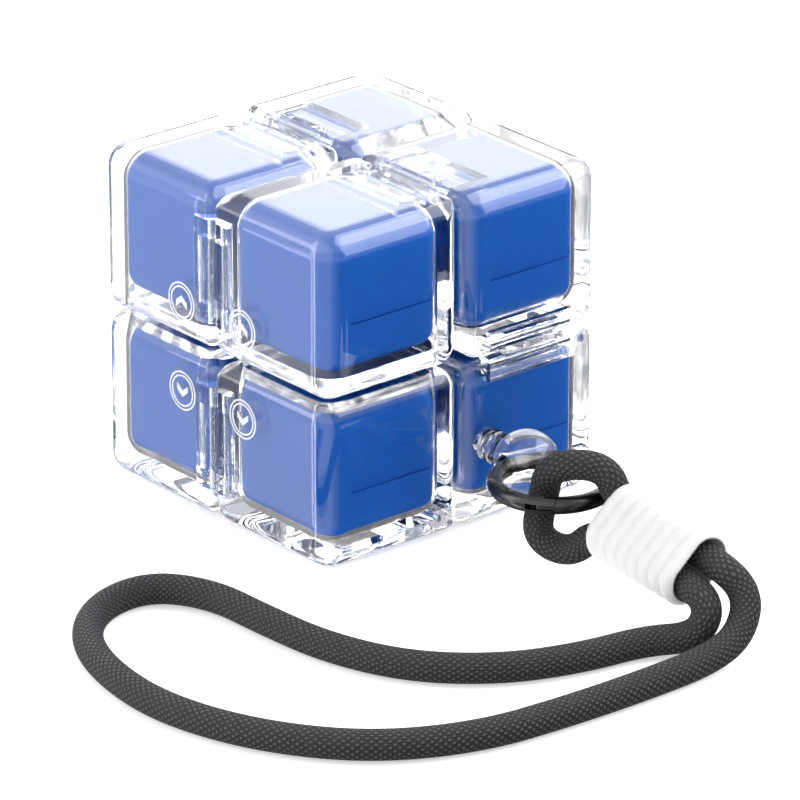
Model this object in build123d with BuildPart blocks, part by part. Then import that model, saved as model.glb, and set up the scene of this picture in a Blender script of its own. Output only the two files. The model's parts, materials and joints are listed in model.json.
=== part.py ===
"""Folding fidget cube: eight clear cubes with coloured cores, joined by two-pin hinges, on a wrist lanyard.

Frame: millimetres, +Z up, origin at the centre of the cube's base. The front and left cubes are at -Y,
the front and right cubes at +X. Every hinge is drawn in its own plane: X across the seam, Y out of the face.
"""

import math
import os

from build123d import *

os.makedirs("parts", exist_ok=True)

# Whole cube and its grid
OVERALL = 40.0
SEAM = 0.4
HALF = OVERALL / 2
CUBE = HALF - SEAM / 2
NEAR = (CUBE + SEAM) / 2
HIGH = HALF + NEAR
LOW = HALF - NEAR

# Clear shell, its cap and the core inside it
WALL = 1.6
FLOOR_WALL = 2.4
EDGE_ROUND = 2.5
CAVITY = (CUBE - 2 * WALL, CUBE - 2 * WALL, CUBE - WALL - FLOOR_WALL)
CAVITY_ROUND = 2.6
CORE_PLAY = 0.1
CAP_PLAY = 0.05
CAP_INSET = 0.2
GROOVE_HEIGHT = 1.2
GROOVE_DEPTH = 0.3
GROOVE_START = 3.0
GROOVE_DROP = 1.4

# Two-pin hinge: each pin lies one corner radius inside both faces, so the corners roll on each other
PIN_INSET = 1.0
PIN_RADIUS = 0.35
PIN_PLAY = 0.02
PIN_ACROSS = SEAM / 2 + PIN_INSET
LINK_RADIUS = 0.88
HINGE_LENGTH = 12.4
KNUCKLE = 2.2
KNUCKLE_PLAY = 0.1
LEAF_THICKNESS = 1.0
LEAF_PLAY = 0.05
LONG_LEAF = 6.2
SHORT_LEAF = 2.7

# Engraved arrow marks on the left face: two up, two down
MARK_RADIUS = 2.35
MARK_INNER = 1.9
MARK_LINE = 0.2
MARK_ARROW = 0.95
MARK_DEPTH = 0.12
MARK_ACROSS = 5.4
MARK_UPPER = 25.1
MARK_LOWER = 14.3
MARKS = {
    "upper_front": (MARK_ACROSS, MARK_UPPER, 1),
    "upper_left": (-MARK_ACROSS, MARK_UPPER, 1),
    "lower_front": (MARK_ACROSS, MARK_LOWER, -1),
    "lower_left": (-MARK_ACROSS, MARK_LOWER, -1),
}

# Lanyard lug on the lower right cube's outer face, turned about X; its ends are distances from that face
LUG_BASE = Vector(HALF, 3.86, 9.5)
FLANGE_RADIUS = 1.95
GROOVE_RADIUS = 1.5
STEM_RADIUS = 1.2
BASE_END = 0.9
GROOVE_END = 1.3
FLANGE_END = 2.2
BALL_RADIUS = 3.7
BALL_OUT = 6.3
BALL_CENTRE = LUG_BASE + Vector(BALL_OUT, 0, 0)
EYE_RADIUS = 1.7
EYE_SHIFT = 0.6

# Gate ring, lying level through the lug's eye; its stations are angles about +Z
RING_RADIUS = 6.5
WIRE_RADIUS = 0.98
TO_RING = Vector(1, 0, 0).rotate(Axis.Z, -14)
EYE_WAY = Vector(0, 1, 0).rotate(Axis.Z, -14)
RING_CENTRE = BALL_CENTRE + TO_RING * RING_RADIUS
GATE_PIVOT = -53
FORK_REACH = 16
GATE_END = 20
GATE_REACH = 2 * RING_RADIUS * math.sin(math.radians(GATE_END - GATE_PIVOT) / 2)
TIP_SPAN = 15
TIP_GAP = 0.15
ROOM_RADIUS = 1.3
GATE_SEAM = 0.08
TONGUE_RADIUS = 0.7
TONGUE_HEIGHT = 0.6
FORK_RADIUS = 1.75
GATE_PIN_RADIUS = 0.28

# Sleeve on the lanyard's two strands, which lie in it side by side on a slant
SLEEVE_START = Vector(42.3, 2.7, 8.2)
SLEEVE_WAY = Vector(16.2, -2.0, 0)
SLEEVE_ACROSS = Vector(0, 0, 1).cross(SLEEVE_WAY.normalized()) + Vector(0, 0, 1)
STRAND_OFFSET = 1.77
SLEEVE_BORE = 3.6
SLEEVE_WALL = 1.15
SLEEVE_FLARE = 0.65
FLARE_DEPTH = 3.2
SLEEVE_RIBS = 8
RIB_DEPTH = 0.35
RIB_SHARE = 0.72

# Cord: from the middle of the sleeve round the ring, back through the sleeve, round the wrist loop and home
CORD_RADIUS = 1.7
STRAND = SLEEVE_ACROSS.normalized() * STRAND_OFFSET
UPPER_STRAND = SLEEVE_START + STRAND
LOWER_STRAND = SLEEVE_START - STRAND
CORD_ROUTE = [
    UPPER_STRAND + SLEEVE_WAY * 0.5,
    UPPER_STRAND - SLEEVE_WAY * 0.04,
    Vector(40.4, 3.2, 13.9),
    Vector(35.6, -0.8, 13.5),
    Vector(33.5, 0.0, 8.6),
    Vector(33.6, -1.2, 4.2),
    Vector(37.6, 0.6, 2.9),
    LOWER_STRAND - SLEEVE_WAY * 0.06,
    LOWER_STRAND + SLEEVE_WAY * 1.1,
    Vector(62.4, -1.2, 5.0),
    Vector(61.6, -2.6, 2.2),
    Vector(58.0, -6.6, 1.72),
    Vector(56.9, -14.6, 1.72),
    Vector(53.6, -23.2, 1.72),
    Vector(46.8, -30.4, 1.72),
    Vector(37.4, -34.0, 1.72),
    Vector(27.6, -34.7, 1.72),
    Vector(18.4, -34.8, 1.72),
    Vector(12.2, -38.8, 1.72),
    Vector(12.8, -46.2, 1.72),
    Vector(18.2, -52.6, 1.72),
    Vector(27.0, -56.2, 1.72),
    Vector(38.0, -57.2, 1.72),
    Vector(49.6, -53.8, 1.72),
    Vector(59.4, -46.6, 1.72),
    Vector(64.9, -36.0, 1.72),
    Vector(66.1, -24.4, 1.72),
    Vector(66.4, -12.8, 1.72),
    Vector(66.0, -4.2, 1.72),
    Vector(65.4, 0.6, 3.0),
    Vector(63.8, 3.2, 6.4),
    UPPER_STRAND + SLEEVE_WAY * 1.12,
    UPPER_STRAND + SLEEVE_WAY * 0.512,
]


class Cube:
    """One cube of the eight: its name, its centre, and the side that its cap closes."""

    def __init__(self, name, centre, cap):
        self.name = name
        self.centre = Vector(*centre)
        self.cap = Vector(*cap)


class Hinge:
    """One hinge: its name, the two cubes it joins, its plane at the seam's middle, and its leaves' reach."""

    def __init__(self, name, cubes, middle, across, out, reach):
        self.name = name
        self.cubes = cubes
        self.reach = reach
        self.plane = Plane(origin=middle, x_dir=across, z_dir=Vector(*across).cross(Vector(*out)))


CUBES = [
    Cube("upper_front", (NEAR, -NEAR, HIGH), (0, 0, -1)),
    Cube("upper_right", (NEAR, NEAR, HIGH), (-1, 0, 0)),
    Cube("upper_left", (-NEAR, -NEAR, HIGH), (0, 0, -1)),
    Cube("upper_back", (-NEAR, NEAR, HIGH), (1, 0, 0)),
    Cube("lower_front", (NEAR, -NEAR, LOW), (0, 0, 1)),
    Cube("lower_right", (NEAR, NEAR, LOW), (-1, 0, 0)),
    Cube("lower_left", (-NEAR, -NEAR, LOW), (0, 0, 1)),
    Cube("lower_back", (-NEAR, NEAR, LOW), (1, 0, 0)),
]
HINGES = [
    Hinge("upper_right", ("upper_front", "upper_right"), (NEAR, 0, OVERALL), (0, 1, 0), (0, 0, 1), LONG_LEAF),
    Hinge("upper_back", ("upper_left", "upper_back"), (-NEAR, 0, OVERALL), (0, 1, 0), (0, 0, 1), LONG_LEAF),
    Hinge("lower_right", ("lower_front", "lower_right"), (NEAR, 0, 0), (0, 1, 0), (0, 0, -1), LONG_LEAF),
    Hinge("lower_back", ("lower_left", "lower_back"), (-NEAR, 0, 0), (0, 1, 0), (0, 0, -1), LONG_LEAF),
    Hinge("upper_left", ("upper_left", "upper_front"), (0, -HALF, HIGH), (1, 0, 0), (0, -1, 0), SHORT_LEAF),
    Hinge("lower_left", ("lower_left", "lower_front"), (0, -HALF, LOW), (1, 0, 0), (0, -1, 0), SHORT_LEAF),
    Hinge("side_right", ("lower_right", "upper_right"), (HALF, NEAR, HALF), (0, 0, 1), (1, 0, 0), SHORT_LEAF),
    Hinge("side_back", ("lower_back", "upper_back"), (-HALF, NEAR, HALF), (0, 0, 1), (-1, 0, 0), SHORT_LEAF),
]


def hinges_of(cube):
    """The cube's hinges, each with the side of its seam that the cube is on."""
    return [(h, 1 if h.cubes[1] == cube.name else -1) for h in HINGES if cube.name in h.cubes]


def finish(piece, name):
    """Label a finished piece and write it."""
    piece.label = name
    export_step(piece, f"parts/{name}.step")


def make_block(cube):
    """The outer form of a cube: small rounds on its two hinge edges and large ones elsewhere."""
    with BuildPart() as block:
        with Locations(cube.centre):
            Box(CUBE, CUBE, CUBE)
        seams = [h.plane.from_local_coords((side * SEAM / 2, 0, 0)) for h, side in hinges_of(cube)]
        hinge_edges = [block.edges().sort_by_distance(seam)[0] for seam in seams]
        fillet([edge for edge in block.edges() if edge not in hinge_edges], EDGE_ROUND)
        for seam in seams:
            fillet(block.edges().sort_by_distance(seam)[0], PIN_INSET)
    return block.part


def cavity_centre(cube):
    """The hollow stands a little high, because every cube's floor is thicker than its walls."""
    return cube.centre + Vector(0, 0, (FLOOR_WALL - WALL) / 2)


def make_hollow(cube):
    """The rounded hollow that holds the core, run straight out through the capped side."""
    long, wide, high = CAVITY
    out = CUBE * cube.cap
    with BuildPart() as hollow:
        with Locations(cavity_centre(cube) + out / 2):
            Box(long + abs(out.X), wide, high + abs(out.Z))
        fillet(hollow.edges(), CAVITY_ROUND)
    return hollow.part


def make_pocket(hinge, side):
    """The stepped pocket that a hinge leaf is bonded into, and the channel that the link turns in."""
    channel = side * (PIN_ACROSS + PIN_INSET + LEAF_PLAY)
    reach = side * (SEAM / 2 + hinge.reach + LEAF_PLAY)
    deep = -(2 * PIN_INSET + LEAF_PLAY)
    step = -(LEAF_THICKNESS + LEAF_PLAY)
    with BuildPart() as pocket:
        with BuildSketch(hinge.plane):
            with BuildLine():
                Polyline((0, 1), (reach, 1), (reach, step), (channel, step), (channel, deep), (0, deep), close=True)
            make_face()
        extrude(amount=HINGE_LENGTH / 2 + LEAF_PLAY, both=True)
    return pocket.part


def make_mark(across, height, turn):
    """An engraved mark on the left face: two rings about an arrowhead that points up or down."""
    top = 0.8 * turn * MARK_ARROW
    arrow = [
        (-MARK_ARROW, -top),
        (0, 0),
        (MARK_ARROW, -top),
        (MARK_ARROW, 0),
        (0, top),
        (-MARK_ARROW, 0),
    ]
    with BuildPart() as mark:
        with BuildSketch(Plane(origin=(across, -HALF, height), x_dir=(1, 0, 0), z_dir=(0, -1, 0))):
            Circle(MARK_RADIUS)
            Circle(MARK_RADIUS - MARK_LINE, mode=Mode.SUBTRACT)
            Circle(MARK_INNER)
            Circle(MARK_INNER - MARK_LINE, mode=Mode.SUBTRACT)
            with BuildLine():
                Polyline(*arrow, close=True)
            make_face()
        extrude(amount=-MARK_DEPTH)
    return mark.part


def make_shell(cube, block):
    """The clear shell: the block hollowed from its capped side, pocketed for its two hinge leaves."""
    with BuildPart() as shell:
        add(block)
        add(make_hollow(cube), mode=Mode.SUBTRACT)
        for hinge, side in hinges_of(cube):
            add(make_pocket(hinge, side), mode=Mode.SUBTRACT)
        if cube.name in MARKS:
            add(make_mark(*MARKS[cube.name]), mode=Mode.SUBTRACT)
        if cube.name == "lower_right":
            with BuildSketch(Plane(origin=LUG_BASE, z_dir=(-1, 0, 0))):
                Circle(STEM_RADIUS + LEAF_PLAY)
            extrude(amount=WALL, mode=Mode.SUBTRACT)
    return shell.part


def make_cap(cube):
    """The flat cap that closes the shell, just inside its rim and clear of the core."""
    depth = FLOOR_WALL if cube.cap.Z < 0 else WALL
    wide = CAVITY[1] - 2 * CAP_PLAY
    high = CAVITY[2] - 2 * CAP_PLAY if cube.cap.Z == 0 else wide
    rise = cavity_centre(cube).Z - cube.centre.Z if cube.cap.Z == 0 else 0
    inside = cube.centre + cube.cap * (CUBE / 2 - depth) + Vector(0, 0, rise)
    with BuildPart() as cap:
        with BuildSketch(Plane(origin=inside, x_dir=(0, 1, 0), z_dir=cube.cap)):
            RectangleRounded(wide, high, CAVITY_ROUND - CAP_PLAY)
        extrude(amount=depth - CAP_INSET)
    return cap.part


def make_core(cube):
    """The coloured core: a rounded block with a shallow groove along its outer side."""
    long, wide, high = (side - 2 * CORE_PLAY for side in CAVITY)
    centre = cavity_centre(cube)
    outward = math.copysign(1, cube.centre.X)
    start = centre + Vector(outward * long / 2, GROOVE_START - wide / 2, -GROOVE_DROP)
    with BuildPart() as core:
        with Locations(centre):
            Box(long, wide, high)
        fillet(core.edges(), EDGE_ROUND)
        with BuildSketch(Plane(origin=start, x_dir=(0, 1, 0), z_dir=(outward, 0, 0))):
            Rectangle(wide, GROOVE_HEIGHT, align=(Align.MIN, Align.CENTER))
        extrude(amount=-GROOVE_DEPTH, mode=Mode.SUBTRACT)
    return core.part


def make_leaf(hinge, side):
    """A hinge leaf: a thin plate in the shell's face, with a pin knuckle at each end of its seam edge."""
    pin = side * PIN_ACROSS
    tip = side * (SEAM / 2 + hinge.reach)
    clear = pin + side * (PIN_INSET + LEAF_PLAY)
    with BuildPart() as leaf:
        with BuildSketch(hinge.plane):
            with BuildLine():
                Polyline((pin, 0), (tip, 0), (tip, -LEAF_THICKNESS), (pin, -LEAF_THICKNESS), close=True)
            make_face()
            with Locations((pin, -PIN_INSET)):
                Circle(PIN_INSET)
        extrude(amount=HINGE_LENGTH / 2, both=True)
        with BuildSketch(hinge.plane):
            with BuildLine():
                Polyline((0, 1), (clear, 1), (clear, -3), (0, -3), close=True)
            make_face()
        extrude(amount=HINGE_LENGTH / 2 - KNUCKLE, both=True, mode=Mode.SUBTRACT)
        with BuildSketch(hinge.plane):
            with Locations((pin, -PIN_INSET)):
                Circle(PIN_RADIUS + PIN_PLAY)
        extrude(amount=HINGE_LENGTH, both=True, mode=Mode.SUBTRACT)
    return leaf.part


def make_link(hinge):
    """The clear link that joins a hinge's two pins, between the knuckles of both leaves."""
    with BuildPart() as link:
        with BuildSketch(hinge.plane):
            with Locations((0, -PIN_INSET)):
                SlotCenterToCenter(2 * PIN_ACROSS, 2 * LINK_RADIUS)
            with Locations((-PIN_ACROSS, -PIN_INSET), (PIN_ACROSS, -PIN_INSET)):
                Circle(PIN_RADIUS, mode=Mode.SUBTRACT)
        extrude(amount=HINGE_LENGTH / 2 - KNUCKLE - KNUCKLE_PLAY, both=True)
    return link.part


def make_pins(hinge):
    """A hinge's two pins, pressed into the link and free to turn in the leaves."""
    with BuildPart() as pins:
        with BuildSketch(hinge.plane):
            with Locations((-PIN_ACROSS, -PIN_INSET), (PIN_ACROSS, -PIN_INSET)):
                Circle(PIN_RADIUS)
        extrude(amount=HINGE_LENGTH / 2 - LEAF_PLAY, both=True)
    return pins.part


def make_lug():
    """The clear lug: stem, stepped flange, neck and ball turned about X, with the ring's eye across the ball."""
    ball_start = BALL_OUT - math.sqrt(BALL_RADIUS**2 - GROOVE_RADIUS**2)
    ball_tip = BALL_OUT + BALL_RADIUS
    eye_centre = BALL_CENTRE + TO_RING * EYE_SHIFT
    with BuildPart() as lug:
        with BuildSketch(Plane(origin=LUG_BASE, x_dir=(1, 0, 0), z_dir=(0, -1, 0))):
            with BuildLine():
                Polyline(
                    (ball_start, GROOVE_RADIUS),
                    (FLANGE_END, GROOVE_RADIUS),
                    (FLANGE_END, FLANGE_RADIUS),
                    (GROOVE_END, FLANGE_RADIUS),
                    (GROOVE_END, GROOVE_RADIUS),
                    (BASE_END, GROOVE_RADIUS),
                    (BASE_END, FLANGE_RADIUS),
                    (0, FLANGE_RADIUS),
                    (0, STEM_RADIUS),
                    (CORE_PLAY - WALL, STEM_RADIUS),
                    (CORE_PLAY - WALL, 0),
                    (ball_tip, 0),
                )
                ThreePointArc((ball_tip, 0), (BALL_OUT, BALL_RADIUS), (ball_start, GROOVE_RADIUS))
            make_face()
        revolve(axis=Axis(LUG_BASE, (1, 0, 0)))
        with BuildSketch(Plane(origin=eye_centre, z_dir=EYE_WAY)):
            Circle(EYE_RADIUS)
        extrude(amount=2 * BALL_RADIUS, both=True, mode=Mode.SUBTRACT)
    return lug.part


def ring_point(angle):
    """A point on the ring's centreline, by its angle about +Z."""
    return RING_CENTRE + Vector(RING_RADIUS, 0, 0).rotate(Axis.Z, angle)


def ring_way(angle):
    """The ring's direction of travel at an angle."""
    return Vector(0, 1, 0).rotate(Axis.Z, angle)


def make_wire(start, end, radius):
    """A stretch of the ring's round wire, from one angle to another."""
    here = ring_point(start)
    with BuildPart() as wire:
        with BuildSketch(Plane(origin=here, x_dir=here - RING_CENTRE, z_dir=ring_way(start))):
            Circle(radius)
        revolve(axis=Axis(RING_CENTRE, (0, 0, 1)), revolution_arc=end - start)
    return wire.part


def make_post(angle, radius, height):
    """An upright cylinder through the ring's wire."""
    with BuildPart() as post:
        with Locations(ring_point(angle)):
            Cylinder(radius, height)
    return post.part


def make_ring_body():
    """The ring's body: the whole ring less the gate's room, with a round-ended fork at the gate's pivot."""
    with BuildPart() as gate_room:
        add(make_wire(GATE_PIVOT, GATE_END + TIP_SPAN, ROOM_RADIUS))
        add(make_post(GATE_PIVOT, GATE_REACH + TIP_GAP, 4 * WIRE_RADIUS), mode=Mode.INTERSECT)
        add(make_post(GATE_PIVOT, FORK_RADIUS, 4 * WIRE_RADIUS), mode=Mode.SUBTRACT)
    with BuildPart() as body:
        add(make_wire(0, 360, WIRE_RADIUS))
        add(gate_room.part, mode=Mode.SUBTRACT)
        add(make_post(GATE_PIVOT, FORK_RADIUS + GATE_SEAM, TONGUE_HEIGHT + GATE_SEAM), mode=Mode.SUBTRACT)
        add(make_post(GATE_PIVOT, GATE_PIN_RADIUS, 4 * WIRE_RADIUS), mode=Mode.SUBTRACT)
    return body.part


def make_gate():
    """The sprung gate: an arc of wire with a flat tongue about the pivot and a tip that is round about it."""
    with BuildPart() as tongue:
        with BuildSketch(Plane.XY.offset(RING_CENTRE.Z - TONGUE_HEIGHT / 2)):
            with Locations(ring_point(GATE_PIVOT)):
                Circle(TONGUE_RADIUS)
            with BuildLine():
                Line(ring_point(GATE_PIVOT), ring_point(GATE_PIVOT + FORK_REACH))
                offset(amount=TONGUE_RADIUS)
            make_face()
        extrude(amount=TONGUE_HEIGHT)
        add(make_wire(GATE_PIVOT - FORK_REACH, GATE_PIVOT + 2 * FORK_REACH, WIRE_RADIUS), mode=Mode.INTERSECT)
    with BuildPart() as gate:
        add(make_wire(GATE_PIVOT, GATE_END + TIP_SPAN, WIRE_RADIUS))
        add(make_post(GATE_PIVOT, GATE_REACH, 4 * WIRE_RADIUS), mode=Mode.INTERSECT)
        add(make_post(GATE_PIVOT, FORK_RADIUS + GATE_SEAM, 4 * WIRE_RADIUS), mode=Mode.SUBTRACT)
        add(tongue.part)
        add(make_post(GATE_PIVOT, GATE_PIN_RADIUS + PIN_PLAY, 4 * WIRE_RADIUS), mode=Mode.SUBTRACT)
    return gate.part


def make_sleeve():
    """The ribbed sleeve: an oval tube with rounded ribs that holds both strands side by side."""
    length = SLEEVE_WAY.length
    mouth = Plane(origin=SLEEVE_START, x_dir=SLEEVE_ACROSS, z_dir=SLEEVE_WAY)
    flare_angle = math.degrees(math.atan(SLEEVE_FLARE / FLARE_DEPTH))
    with BuildPart() as sleeve:
        for rib in range(SLEEVE_RIBS):
            with BuildSketch(mouth.offset(rib * length / SLEEVE_RIBS)):
                SlotCenterToCenter(2 * STRAND_OFFSET, SLEEVE_BORE + 2 * SLEEVE_WALL)
            extrude(amount=length * RIB_SHARE / SLEEVE_RIBS)
        with BuildSketch(mouth):
            SlotCenterToCenter(2 * STRAND_OFFSET, SLEEVE_BORE + 2 * (SLEEVE_WALL - RIB_DEPTH))
        extrude(amount=length)
        with BuildSketch(mouth):
            SlotCenterToCenter(2 * STRAND_OFFSET, SLEEVE_BORE)
        extrude(amount=length, mode=Mode.SUBTRACT)
        for end in (mouth, mouth.offset(length)):
            with BuildSketch(end):
                SlotCenterToCenter(2 * STRAND_OFFSET, SLEEVE_BORE + 2 * SLEEVE_FLARE)
            inward = FLARE_DEPTH if end is mouth else -FLARE_DEPTH
            extrude(amount=inward, taper=flare_angle, mode=Mode.SUBTRACT)
    return sleeve.part


def arc_radii(points):
    """The largest round at each corner of the route: 0.45 of its shorter run over tan of half its turn."""
    radii = []
    for before, corner, after in zip(points, points[1:], points[2:]):
        run_in = corner - before
        run_out = after - corner
        half_turn = math.radians(run_in.get_angle(run_out)) / 2
        radii.append(0.45 * min(run_in.length, run_out.length) / math.tan(half_turn))
    return radii


def make_cord(points):
    """The lanyard's cord: straight runs joined by tangent arcs."""
    with BuildPart() as cord:
        with BuildLine() as route:
            FilletPolyline(*points, radius=arc_radii(points))
        with BuildSketch(Plane(origin=route.line @ 0, z_dir=route.line % 0)):
            Circle(CORD_RADIUS)
        sweep(path=route.line)
    length = sum(edge.length for edge in route.edges())
    print("cord length", round(length, 1))
    section = math.pi * CORD_RADIUS**2
    print("section x length", round(section * length, 1), "volume", round(cord.part.volume, 1))
    return cord.part


for cube in CUBES:
    block = make_block(cube)
    finish(make_shell(cube, block), f"shell_{cube.name}")
    finish(make_cap(cube), f"cap_{cube.name}")
    finish(make_core(cube), f"core_{cube.name}")
    leaves = Compound(children=[make_leaf(hinge, side) for hinge, side in hinges_of(cube)])
    finish(leaves, f"leaves_{cube.name}")

for hinge in HINGES:
    finish(make_link(hinge), f"link_{hinge.name}")
    finish(make_pins(hinge), f"pins_{hinge.name}")

finish(make_lug(), "lug")
finish(make_ring_body(), "ring_body")
finish(make_gate(), "ring_gate")
finish(make_post(GATE_PIVOT, GATE_PIN_RADIUS, 2 * WIRE_RADIUS * 0.96), "gate_pin")
finish(make_sleeve(), "sleeve")
print("cord arc radii", [round(radius, 1) for radius in arc_radii(CORD_ROUTE)])
finish(make_cord(CORD_ROUTE), "wrist_cord")
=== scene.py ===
"""Looks for the folding fidget cube: camera, lanyard cord, materials, lights and floor around the CAD frame.

Units are metres. +Z is up and the origin is the centre of the closed cube's base.
"""

import json
import math

import bmesh
import bpy
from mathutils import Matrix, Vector


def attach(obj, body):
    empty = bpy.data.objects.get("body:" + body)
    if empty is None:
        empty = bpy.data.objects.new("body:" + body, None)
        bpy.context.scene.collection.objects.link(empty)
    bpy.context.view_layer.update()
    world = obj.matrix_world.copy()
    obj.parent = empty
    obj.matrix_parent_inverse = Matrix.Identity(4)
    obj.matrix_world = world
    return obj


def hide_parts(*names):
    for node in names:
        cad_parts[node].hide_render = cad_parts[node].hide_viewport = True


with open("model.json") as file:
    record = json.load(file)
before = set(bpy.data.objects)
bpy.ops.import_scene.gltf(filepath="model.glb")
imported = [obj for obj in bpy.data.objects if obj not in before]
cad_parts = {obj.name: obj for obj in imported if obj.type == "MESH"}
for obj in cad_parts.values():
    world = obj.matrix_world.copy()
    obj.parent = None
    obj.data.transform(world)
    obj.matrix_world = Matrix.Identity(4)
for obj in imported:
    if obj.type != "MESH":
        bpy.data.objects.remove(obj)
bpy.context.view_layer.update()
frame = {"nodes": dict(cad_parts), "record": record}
MM = 0.001

# Camera, as the photograph was taken
CAMERA_AT = Vector((589.289, -486.108, 330.662)) * MM
CAMERA_TARGET = Vector((6.530, 1.955, 11.078)) * MM
LENS_MM = 327.3
SENSOR_MM = 36.0
CLIP_END = 20

# Studio: the surround's strength in even light, and the ramps that reflections see instead.
# Each ramp runs over one axis of the direction: its two ends, then the strength at each end.
SKY_EVEN = 0.75
SKY_ABOVE = (0.0, 0.35, 0.04, 1.1)
SKY_LEFT = (-0.1, -0.6, 0.0, 1.0)
SKY_BEHIND = (0.4, -0.5, 0.0, 0.15)
FLOOR_HALF = 3.0
FLOOR_DROP = 0.00002
FLOOR_GLOW = 0.5
LIGHT_AIM = Vector((0, 0, 0.02))
LIGHT_BOUNCES = 24
# Soft boxes: azimuth and elevation in degrees, distance and size in metres, power in watts
LIGHTS = {
    "back_box": (140, 24, 0.9, (0.9, 0.45), 1.5),
    "top_box": (57, 44, 0.8, (0.8, 0.5), 5),
    "edge_strip": (-112, -22, 0.7, (0.1, 0.8), 1.6),
    "left_box": (-125, 25, 0.7, (0.3, 0.5), 1.5),
}

# Engraved marks on the left face, in millimetres: across, height and the way the arrow points, by cube
MARKS = {
    "upper_front": (5.4, 25.1, 1),
    "upper_left": (-5.4, 25.1, 1),
    "lower_front": (5.4, 14.3, -1),
    "lower_left": (-5.4, 14.3, -1),
}
MARK_RADII = (2.35, 1.9)
MARK_LINE = 0.2
MARK_ARROW = 0.95
MARK_ARROW_RISE = 0.8
MARK_TOP = 0.005
MARK_DEPTH = 0.11
MARK_STEPS = 64
FACE_Y = -20.0

# Lanyard: the route and the sleeve in millimetres, from the ring through the sleeve, round the loop and back
WEAVE_SCALE = 0.55
WEAVE_SLANT = 38
CORD_SIDES = 48
CORD_STEPS = 16
CORD_DIAMETER = 3.4 * MM
SLEEVE_START = Vector((42.3, 2.7, 8.2))
SLEEVE_WAY = Vector((16.2, -2.0, 0.0))
STRAND_HALF_GAP = 1.77
STRAND = Vector((0, 0, 1)).cross(SLEEVE_WAY.normalized()) + Vector((0, 0, 1))
STRAND = STRAND.normalized() * STRAND_HALF_GAP
SLEEVE_BORE = 1.8
SLEEVE_WALL = 1.15
SLEEVE_FLARE = 0.65
FLARE_DEPTH = 3.2
SLEEVE_RIBS = 8
RIB_DEPTH = 0.4
RIB_ROUND = 0.6
SLEEVE_ROLL = 1.0
SLEEVE_LIP = 0.3
SLEEVE_SIDES = 96
SLEEVE_STATIONS = 160
BORE_STATIONS = (1.0, 0.96, 0.9, 0.8, 0.5, 0.2, 0.1, 0.04, 0.0)
UPPER_STRAND = SLEEVE_START + STRAND
LOWER_STRAND = SLEEVE_START - STRAND
CORD_ROUTE = [
    UPPER_STRAND + SLEEVE_WAY * 0.5,
    UPPER_STRAND - SLEEVE_WAY * 0.04,
    Vector((40.4, 3.2, 13.9)),
    Vector((35.6, -0.8, 13.5)),
    Vector((33.5, 0.0, 8.6)),
    Vector((33.6, -1.2, 4.2)),
    Vector((37.6, 0.6, 2.9)),
    LOWER_STRAND - SLEEVE_WAY * 0.06,
    LOWER_STRAND + SLEEVE_WAY * 1.1,
    Vector((62.4, -1.2, 5.0)),
    Vector((61.6, -2.6, 2.2)),
    Vector((58.0, -6.6, 1.72)),
    Vector((56.9, -14.6, 1.72)),
    Vector((53.6, -23.2, 1.72)),
    Vector((46.8, -30.4, 1.72)),
    Vector((37.4, -34.0, 1.72)),
    Vector((27.6, -34.7, 1.72)),
    Vector((18.4, -34.8, 1.72)),
    Vector((12.2, -38.8, 1.72)),
    Vector((12.8, -46.2, 1.72)),
    Vector((18.2, -52.6, 1.72)),
    Vector((27.0, -56.2, 1.72)),
    Vector((38.0, -57.2, 1.72)),
    Vector((49.6, -53.8, 1.72)),
    Vector((59.4, -46.6, 1.72)),
    Vector((64.9, -36.0, 1.72)),
    Vector((66.1, -24.4, 1.72)),
    Vector((66.4, -12.8, 1.72)),
    Vector((66.0, -4.2, 1.72)),
    Vector((65.4, 0.6, 3.0)),
    Vector((63.8, 3.2, 6.4)),
    UPPER_STRAND + SLEEVE_WAY * 1.12,
    UPPER_STRAND + SLEEVE_WAY * 0.512,
]


def make_camera():
    """A long lens at the photograph's angle."""
    camera = bpy.data.objects.new("camera", bpy.data.cameras.new("camera"))
    camera.data.lens = LENS_MM
    camera.data.sensor_width = SENSOR_MM
    camera.data.clip_end = CLIP_END
    camera.location = CAMERA_AT
    camera.rotation_euler = (CAMERA_TARGET - CAMERA_AT).to_track_quat("-Z", "Y").to_euler()
    bpy.context.scene.collection.objects.link(camera)
    bpy.context.scene.camera = camera


class Shader:
    """A node material with a Principled shader, built up by short calls."""

    def __init__(self, name, **values):
        self.material = bpy.data.materials.new(name)
        self.material.use_nodes = True
        self.tree = self.material.node_tree
        self.surface = self.tree.nodes["Principled BSDF"]
        for key, value in values.items():
            self.surface.inputs[key.replace("_", " ")].default_value = value

    def node(self, kind, **values):
        """A new node, with its properties and input values set by name."""
        new = self.tree.nodes.new(kind)
        for key, value in values.items():
            if hasattr(new, key):
                setattr(new, key, value)
            else:
                new.inputs[key.replace("_", " ")].default_value = value
        return new

    def link(self, output, target):
        self.tree.links.new(output, target)

    def noise(self, scale, detail=3.0):
        """Fine-grained noise in object space."""
        where = self.node("ShaderNodeTexCoord")
        noise = self.node("ShaderNodeTexNoise", Scale=scale, Detail=detail)
        self.link(where.outputs["Object"], noise.inputs["Vector"])
        return noise.outputs["Fac"]

    def ramp(self, source, stops):
        """A colour ramp of (position, colour) stops."""
        ramp = self.node("ShaderNodeValToRGB")
        elements = ramp.color_ramp.elements
        while len(elements) < len(stops):
            elements.new(0.5)
        for element, (position, colour) in zip(elements, stops):
            element.position = position
            element.color = (*colour, 1)
        self.link(source, ramp.inputs["Fac"])
        return ramp.outputs["Color"]

    def bump(self, height, strength, distance):
        """Bump from a height, with its distance in metres."""
        bump = self.node("ShaderNodeBump", Strength=strength, Distance=distance)
        self.link(height, bump.inputs["Height"])
        self.link(bump.outputs["Normal"], self.surface.inputs["Normal"])


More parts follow.
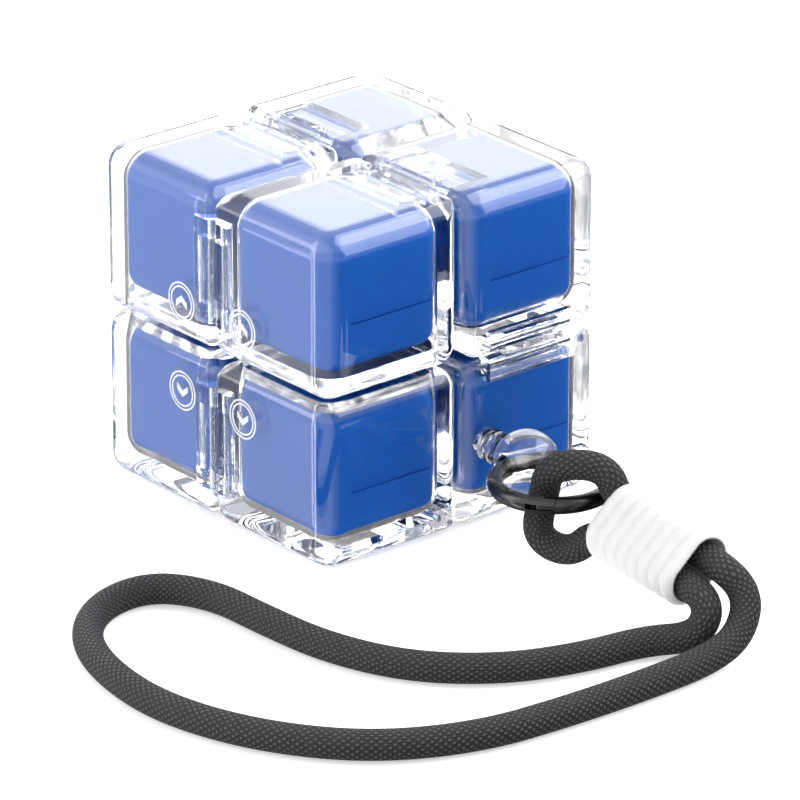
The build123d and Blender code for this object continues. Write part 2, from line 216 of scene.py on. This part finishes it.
def clear_plastic(name, bend, gloss):
    """Water-clear moulded plastic: it bends light little and mirrors it by its gloss."""
    shader = Shader(name, Base_Color=(0.985, 0.99, 1.0, 1), Transmission_Weight=1.0, IOR=bend)
    shader.surface.inputs["Coat Weight"].default_value = gloss
    shader.surface.inputs["Coat Roughness"].default_value = 0.02
    level = shader.ramp(shader.noise(900), [(0.3, (0.006,) * 3), (0.7, (0.02,) * 3)])
    shader.link(level, shader.surface.inputs["Roughness"])
    shader.bump(shader.noise(90, 1.0), 0.03, 0.0002)
    return shader.material


def blue_insert():
    """Satin royal blue, moulded."""
    shader = Shader("blue_insert", Specular_IOR_Level=0.09)
    colour = shader.ramp(shader.noise(160), [(0.3, (0.006, 0.115, 0.53)), (0.7, (0.007, 0.125, 0.57))])
    shader.link(colour, shader.surface.inputs["Base Color"])
    level = shader.ramp(shader.noise(2500), [(0.3, (0.34,) * 3), (0.7, (0.42,) * 3)])
    shader.link(level, shader.surface.inputs["Roughness"])
    return shader.material


def bright_steel():
    """Drawn steel wire."""
    shader = Shader("bright_steel", Base_Color=(0.55, 0.6, 0.7, 1), Metallic=1.0)
    level = shader.ramp(shader.noise(4000), [(0.3, (0.18,) * 3), (0.7, (0.32,) * 3)])
    shader.link(level, shader.surface.inputs["Roughness"])
    return shader.material


def black_enamel():
    """Black coated metal with a satin gloss."""
    shader = Shader("black_enamel", Metallic=0.4, Coat_Weight=0.35, Coat_Roughness=0.2)
    colour = shader.ramp(shader.noise(700), [(0.3, (0.006, 0.006, 0.007)), (0.7, (0.012, 0.012, 0.014))])
    shader.link(colour, shader.surface.inputs["Base Color"])
    level = shader.ramp(shader.noise(3000), [(0.3, (0.24,) * 3), (0.7, (0.36,) * 3)])
    shader.link(level, shader.surface.inputs["Roughness"])
    return shader.material


def pale_rubber():
    """Off-white soft plastic with a fine satin grain."""
    shader = Shader("pale_rubber", Subsurface_Weight=0.08, Subsurface_Scale=0.002)
    shader.surface.inputs["Subsurface Radius"].default_value = (1.0, 0.9, 0.8)
    colour = shader.ramp(shader.noise(500), [(0.3, (0.80, 0.80, 0.79)), (0.7, (0.84, 0.84, 0.83))])
    shader.link(colour, shader.surface.inputs["Base Color"])
    level = shader.ramp(shader.noise(2500), [(0.3, (0.42,) * 3), (0.7, (0.55,) * 3)])
    shader.link(level, shader.surface.inputs["Roughness"])
    shader.bump(shader.noise(3500), 0.15, 0.00005)
    return shader.material


def woven_black():
    """Black braid: yarns crossing on the diagonal, with a painted highlight where they turn: the colour is
    lighter on the raised crowns and darker in the hollows between them.
    """
    shader = Shader("woven_black", Sheen_Weight=0.06, Sheen_Roughness=0.4)
    where = shader.node("ShaderNodeUVMap", uv_map="weave")
    waves = []
    for slant in (1, -1):
        turn = shader.node("ShaderNodeMapping")
        turn.inputs["Rotation"].default_value = (0, 0, slant * math.radians(WEAVE_SLANT))
        shader.link(where.outputs["UV"], turn.inputs["Vector"])
        wave = shader.node("ShaderNodeTexWave", Scale=WEAVE_SCALE, Distortion=0.6, Detail=1.0)
        wave.inputs["Detail Scale"].default_value = 2.0
        shader.link(turn.outputs["Vector"], wave.inputs["Vector"])
        waves.append(wave.outputs["Fac"])
    cross = shader.node("ShaderNodeMath", operation="MULTIPLY")
    shader.link(waves[0], cross.inputs[0])
    shader.link(waves[1], cross.inputs[1])
    # Painted highlight and shade: the black yarn's colour is lighter where the bump is raised and darker in
    # the hollows between the yarns.
    shader.link(
        shader.ramp(cross.outputs[0], [(0.25, (0.006, 0.006, 0.006)), (0.9, (0.06, 0.06, 0.062))]),
        shader.surface.inputs["Base Color"],
    )
    shader.link(
        shader.ramp(cross.outputs[0], [(0.2, (0.75,) * 3), (0.9, (0.33,) * 3)]),
        shader.surface.inputs["Roughness"],
    )
    shader.bump(cross.outputs[0], 0.8, 0.0002)
    return shader.material


def plain_floor():
    """White paper with a glow of its own. Mirrored rays pass through it to the studio beyond."""
    shader = Shader("white_paper", Roughness=0.9)
    colour = shader.ramp(shader.noise(30), [(0.3, (0.93, 0.93, 0.93)), (0.7, (0.95, 0.95, 0.95))])
    shader.link(colour, shader.surface.inputs["Base Color"])
    shader.surface.inputs["Emission Color"].default_value = (1, 1, 1, 1)
    shader.surface.inputs["Emission Strength"].default_value = FLOOR_GLOW
    ray = shader.node("ShaderNodeLightPath")
    clear = shader.node("ShaderNodeBsdfTransparent")
    mix = shader.node("ShaderNodeMixShader")
    shader.link(ray.outputs["Glossy Depth"], mix.inputs[0])
    shader.link(shader.surface.outputs[0], mix.inputs[1])
    shader.link(clear.outputs[0], mix.inputs[2])
    shader.link(mix.outputs[0], shader.tree.nodes["Material Output"].inputs["Surface"])
    return shader.material


def frosted_mark():
    """Frosted white, as an engraved line looks in clear plastic."""
    shader = Shader("frosted_mark", Base_Color=(0.9, 0.93, 0.97, 1), Alpha=0.75)
    level = shader.ramp(shader.noise(2500), [(0.3, (0.5,) * 3), (0.7, (0.7,) * 3)])
    shader.link(level, shader.surface.inputs["Roughness"])
    return shader.material


def route_line():
    """The cord's smooth centreline, as points read from its own spline."""
    curve = make_route("cord_line")
    probe = bpy.data.objects.new("cord_line", curve)
    mesh = bpy.data.meshes.new_from_object(probe)
    points = [vertex.co.copy() for vertex in mesh.vertices]
    bpy.data.objects.remove(probe)
    return points


def make_route(name):
    """A curve that follows the cord's route as a smooth spline."""
    curve = bpy.data.curves.new(name, "CURVE")
    curve.dimensions = "3D"
    spline = curve.splines.new("NURBS")
    spline.points.add(len(CORD_ROUTE) - 1)
    for point, place in zip(spline.points, CORD_ROUTE):
        point.co = (*(place * MM), 1)
    spline.order_u = 3
    spline.use_endpoint_u = True
    spline.resolution_u = CORD_STEPS
    return curve


def make_cord(material):
    """The lanyard's cord: a tube with a weave map that runs round and along it."""
    points = route_line()
    sides = CORD_SIDES
    radius = CORD_DIAMETER / 2
    mesh = bmesh.new()
    weave = mesh.loops.layers.uv.new("weave")
    along = (points[1] - points[0]).normalized()
    side = along.orthogonal().normalized()
    rings = []
    travelled = 0.0
    for index, point in enumerate(points):
        ahead = points[min(index + 1, len(points) - 1)]
        behind = points[max(index - 1, 0)]
        way = (ahead - behind).normalized()
        side = (side - way * side.dot(way)).normalized()
        other = way.cross(side)
        if index:
            travelled += (point - points[index - 1]).length
        ring = []
        for step in range(sides):
            angle = math.tau * step / sides
            spoke = side * math.cos(angle) + other * math.sin(angle)
            ring.append(mesh.verts.new(point + spoke * radius))
        rings.append((ring, travelled))
    for (ring_a, far_a), (ring_b, far_b) in zip(rings, rings[1:]):
        for step in range(sides):
            after = (step + 1) % sides
            face = mesh.faces.new((ring_a[step], ring_a[after], ring_b[after], ring_b[step]))
            face.smooth = True
            corners = ((step, far_a), (step + 1, far_a), (step + 1, far_b), (step, far_b))
            for loop, (turn, far) in zip(face.loops, corners):
                loop[weave].uv = (turn / sides * math.tau * radius / MM, far / MM)
    mesh.faces.new(list(reversed(rings[0][0])))
    mesh.faces.new(rings[-1][0])
    data = bpy.data.meshes.new("lanyard_cord")
    mesh.to_mesh(data)
    mesh.free()
    cord = bpy.data.objects.new("lanyard_cord", data)
    bpy.context.scene.collection.objects.link(cord)
    data.materials.append(material)
    return cord, points


def dress_frame():
    """Give every CAD node its finish."""
    finishes = {
        "clear_shell": clear_plastic("clear_shell_plastic", 1.2, 1.0),
        "clear_hinge": clear_plastic("clear_hinge_plastic", 1.07, 0.35),
        "blue_core": blue_insert(),
        "steel_pin": bright_steel(),
        "black_ring": black_enamel(),
        "pale_sleeve": pale_rubber(),
        "black_cord": woven_black(),
    }
    for part in frame["record"]["subparts"]:
        node = frame["nodes"][part["node"]]
        node.data.materials.clear()
        node.data.materials.append(finishes[part["material_slot"]])
    return finishes


def add_plate(mesh, outline, depth):
    """A thin plate on the left face: an outline of (x, z) points in millimetres, sunk to a depth."""
    front = [mesh.verts.new(Vector((x, FACE_Y + MARK_TOP, z)) * MM) for x, z in outline]
    back = [mesh.verts.new(Vector((x, FACE_Y + depth, z)) * MM) for x, z in outline]
    mesh.faces.new(front)
    mesh.faces.new(list(reversed(back)))
    for step in range(len(outline)):
        after = (step + 1) % len(outline)
        mesh.faces.new((front[after], front[step], back[step], back[after]))


def make_marks(material):
    """The engraved marks: two rings about an arrowhead on each of the left face's cubes."""
    steps = MARK_STEPS
    for cube, (across, height, turn) in MARKS.items():
        mesh = bmesh.new()
        for radius in MARK_RADII:
            inner = radius - MARK_LINE
            rings = []
            edges = ((radius, MARK_TOP), (inner, MARK_TOP), (inner, MARK_DEPTH), (radius, MARK_DEPTH))
            for reach, y in edges:
                ring = []
                for step in range(steps):
                    angle = math.tau * step / steps
                    x = across + reach * math.cos(angle)
                    z = height + reach * math.sin(angle)
                    ring.append(mesh.verts.new(Vector((x, FACE_Y + y, z)) * MM))
                rings.append(ring)
            for ring_a, ring_b in zip(rings, rings[1:] + rings[:1]):
                for step in range(steps):
                    after = (step + 1) % steps
                    mesh.faces.new((ring_a[step], ring_a[after], ring_b[after], ring_b[step]))
        high = MARK_ARROW_RISE * MARK_ARROW * turn
        low = -high
        arrow = [(-MARK_ARROW, low), (0, 0), (MARK_ARROW, low), (MARK_ARROW, 0), (0, high), (-MARK_ARROW, 0)]
        for points in (arrow[0:2] + arrow[4:6], arrow[1:5]):
            add_plate(mesh, [(across + x, height + z) for x, z in points], MARK_DEPTH)
        bmesh.ops.recalc_face_normals(mesh, faces=mesh.faces)
        data = bpy.data.meshes.new("mark_" + cube)
        mesh.to_mesh(data)
        mesh.free()
        mark = bpy.data.objects.new("mark_" + cube, data)
        bpy.context.scene.collection.objects.link(mark)
        data.materials.append(material)
        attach(mark, cube)


def stadium(across, up, half_gap, radius, steps):
    """Points round a stadium: two half circles whose centres are half_gap each way along across."""
    points = []
    for step in range(steps):
        angle = math.tau * (step + 0.5) / steps
        centre = half_gap if math.cos(angle) > 0 else -half_gap
        points.append(across * (centre + radius * math.cos(angle)) + up * (radius * math.sin(angle)))
    return points


def make_sleeve(material):
    """The sleeve: a soft oval tube with rounded ribs and rolled ends."""
    length = SLEEVE_WAY.length
    way = SLEEVE_WAY.normalized()
    across = STRAND.normalized()
    up = way.cross(across)
    steps = SLEEVE_SIDES
    profile = []
    for station in range(SLEEVE_STATIONS + 1):
        share = station / SLEEVE_STATIONS
        rib = abs(math.sin(math.pi * SLEEVE_RIBS * share)) ** RIB_ROUND
        from_end = min(share, 1 - share) * length
        roll = math.sqrt(max(0.0, 1 - (1 - min(1.0, from_end / SLEEVE_ROLL)) ** 2))
        body = SLEEVE_WALL - RIB_DEPTH * (1 - rib) - SLEEVE_LIP
        profile.append((share * length, SLEEVE_BORE + SLEEVE_LIP + body * roll))
    for share in BORE_STATIONS:
        from_end = min(share, 1 - share) * length
        flare = SLEEVE_FLARE * max(0.0, 1 - from_end / FLARE_DEPTH)
        profile.append((share * length, SLEEVE_BORE + flare))
    mesh = bmesh.new()
    rings = []
    for far, radius in profile:
        centre = SLEEVE_START + way * far
        outline = stadium(across, up, STRAND.length, radius, steps)
        rings.append([mesh.verts.new((centre + point) * MM) for point in outline])
    for ring_a, ring_b in zip(rings, rings[1:] + rings[:1]):
        for step in range(steps):
            after = (step + 1) % steps
            mesh.faces.new((ring_a[step], ring_a[after], ring_b[after], ring_b[step])).smooth = True
    bmesh.ops.recalc_face_normals(mesh, faces=mesh.faces)
    data = bpy.data.meshes.new("ribbed_sleeve")
    mesh.to_mesh(data)
    mesh.free()
    sleeve = bpy.data.objects.new("ribbed_sleeve", data)
    bpy.context.scene.collection.objects.link(sleeve)
    data.materials.append(material)
    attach(sleeve, "base")
    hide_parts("sleeve")
    return sleeve


def make_floor():
    """A wide flat white floor, just under the object."""
    half = FLOOR_HALF
    data = bpy.data.meshes.new("floor")
    corners = [(-half, -half, 0), (half, -half, 0), (half, half, 0), (-half, half, 0)]
    data.from_pydata(corners, [], [(0, 1, 2, 3)])
    floor = bpy.data.objects.new("floor", data)
    floor.location.z = -FLOOR_DROP
    floor.visible_glossy = False
    data.materials.append(plain_floor())
    bpy.context.scene.collection.objects.link(floor)


def make_light(name, azimuth, elevation, distance, size, power):
    """A soft box aimed at the cube's middle from an azimuth about +Z and an elevation."""
    light = bpy.data.lights.new(name, "AREA")
    light.shape = "RECTANGLE"
    light.size, light.size_y = size
    light.energy = power
    holder = bpy.data.objects.new(name, light)
    a = math.radians(azimuth)
    e = math.radians(elevation)
    way = Vector((math.cos(e) * math.cos(a), math.cos(e) * math.sin(a), math.sin(e)))
    holder.location = LIGHT_AIM + distance * way
    holder.rotation_euler = (LIGHT_AIM - holder.location).to_track_quat("-Z", "Y").to_euler()
    bpy.context.scene.collection.objects.link(holder)


def make_world():
    """A white studio, even for plain light. Mirrored light finds it bright above and on the left."""
    world = bpy.data.worlds.new("studio")
    world.use_nodes = True
    tree = world.node_tree
    background = tree.nodes["Background"]
    background.inputs["Color"].default_value = (1, 1, 1, 1)
    place = tree.nodes.new("ShaderNodeTexCoord")
    split = tree.nodes.new("ShaderNodeSeparateXYZ")
    tree.links.new(place.outputs["Generated"], split.inputs[0])
    ramps = []
    for axis, values in (("Z", SKY_ABOVE), ("Y", SKY_LEFT), ("X", SKY_BEHIND)):
        ramp = tree.nodes.new("ShaderNodeMapRange")
        ramp.interpolation_type = "SMOOTHSTEP"
        tree.links.new(split.outputs[axis], ramp.inputs["Value"])
        for socket, value in zip(("From Min", "From Max", "To Min", "To Max"), values):
            ramp.inputs[socket].default_value = value
        ramps.append(ramp.outputs["Result"])
    total = ramps[0]
    for extra in ramps[1:]:
        both = tree.nodes.new("ShaderNodeMath")
        both.operation = "ADD"
        tree.links.new(total, both.inputs[0])
        tree.links.new(extra, both.inputs[1])
        total = both.outputs[0]
    ray = tree.nodes.new("ShaderNodeLightPath")
    pick = tree.nodes.new("ShaderNodeMix")
    tree.links.new(ray.outputs["Glossy Depth"], pick.inputs["Factor"])
    pick.inputs["A"].default_value = SKY_EVEN
    tree.links.new(total, pick.inputs["B"])
    tree.links.new(pick.outputs["Result"], background.inputs["Strength"])
    bpy.context.scene.world = world


make_camera()
finishes = dress_frame()
cord, cord_path = make_cord(finishes["black_cord"])
make_marks(frosted_mark())
sleeve = make_sleeve(finishes["pale_sleeve"])
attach(cord, "base")
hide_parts("wrist_cord")

make_floor()
make_world()
for light_name, light_values in LIGHTS.items():
    make_light(light_name, *light_values)
bpy.context.scene.cycles.max_bounces = LIGHT_BOUNCES
bpy.context.scene.cycles.transmission_bounces = LIGHT_BOUNCES
bpy.context.scene.cycles.glossy_bounces = LIGHT_BOUNCES
bpy.context.scene.view_settings.view_transform = "Standard"
